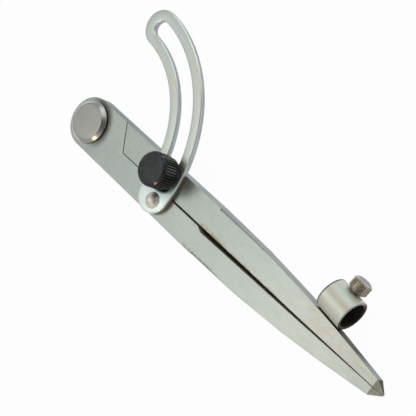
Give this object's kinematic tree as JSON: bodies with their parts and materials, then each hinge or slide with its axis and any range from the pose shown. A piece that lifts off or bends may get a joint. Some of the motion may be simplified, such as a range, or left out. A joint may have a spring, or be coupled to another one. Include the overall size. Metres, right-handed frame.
{
  "type": "wing compass",
  "caption": "Flat steel wing compass: pointed legs on a half-lap rivet joint, a slotted arc that a knurled thumb screw locks, and a side tube whose small screw grips a pencil.",
  "frame": {"origin": "on the pivot axis, in the plane on which the compass rests when it lies on its back", "axes": "+Z out of the front of the plates, the points towards -Y, the wing and the pencil tube towards +X"},
  "size_m": [0.0553, 0.1499, 0.0182],
  "materials": {
    "leg_steel": "satin, finely ground, bare",
    "rivet_steel": "turned, satin with polished edges",
    "wing_plate": "bright, plated",
    "black_knob": "matt black",
    "screw_steel": "dull, slightly brown",
    "tube_plate": "bright, plated",
    "braze": "dull, dark"
  },
  "bodies": {
    "plain_leg": {"plain_leg": "leg_steel", "wing": "wing_plate", "wing_rivet": "rivet_steel", "pivot_rivet": "rivet_steel", "pivot_washer": "rivet_steel"},
    "pencil_leg": {"pencil_leg": "leg_steel", "pencil_tube": "tube_plate", "tube_braze": "braze"},
    "clamp_washer": {"clamp_washer": "black_knob"},
    "clamp_screw": {"clamp_knob": "black_knob", "clamp_screw": "screw_steel"},
    "pencil_screw": {"pencil_screw": "screw_steel"},
    "pencil_screw_head": {"pencil_screw_head": "screw_steel"}
  },
  "joints": [
    {"name": "leg_hinge", "type": "hinge", "parent": "plain_leg", "child": "pencil_leg", "pos_m": [0, 0, 0.0053], "axis": [0, 0, 1], "range_deg": [0, 75]},
    {"name": "clamp_lift", "type": "slide", "parent": "pencil_leg", "child": "clamp_washer", "axis": [0, 0, 1], "range_m": [0, 0.0008]},
    {"name": "clamp_turn", "type": "hinge", "parent": "clamp_washer", "child": "clamp_screw", "pos_m": [0.0054, -0.04004, 0.0112], "axis": [0, 0, 1], "range_deg": [0, 360]},
    {"name": "pencil_screw_slide", "type": "slide", "parent": "pencil_leg", "child": "pencil_screw", "axis": [0.9943, -0.1065, 0], "range_m": [-0.00025, 0.001]},
    {"name": "pencil_screw_turn", "type": "hinge", "parent": "pencil_screw", "child": "pencil_screw_head", "pos_m": [0.01116, -0.11496, 0.0053], "axis": [0.9943, -0.1065, 0], "range_deg": [-180, 720]}
  ],
  "couplings": [
    {"joint": "clamp_turn", "follows": "clamp_lift", "rad_per_m": 7853.9},
    {"joint": "pencil_screw_turn", "follows": "pencil_screw_slide", "rad_per_m": 12566}
  ]
}
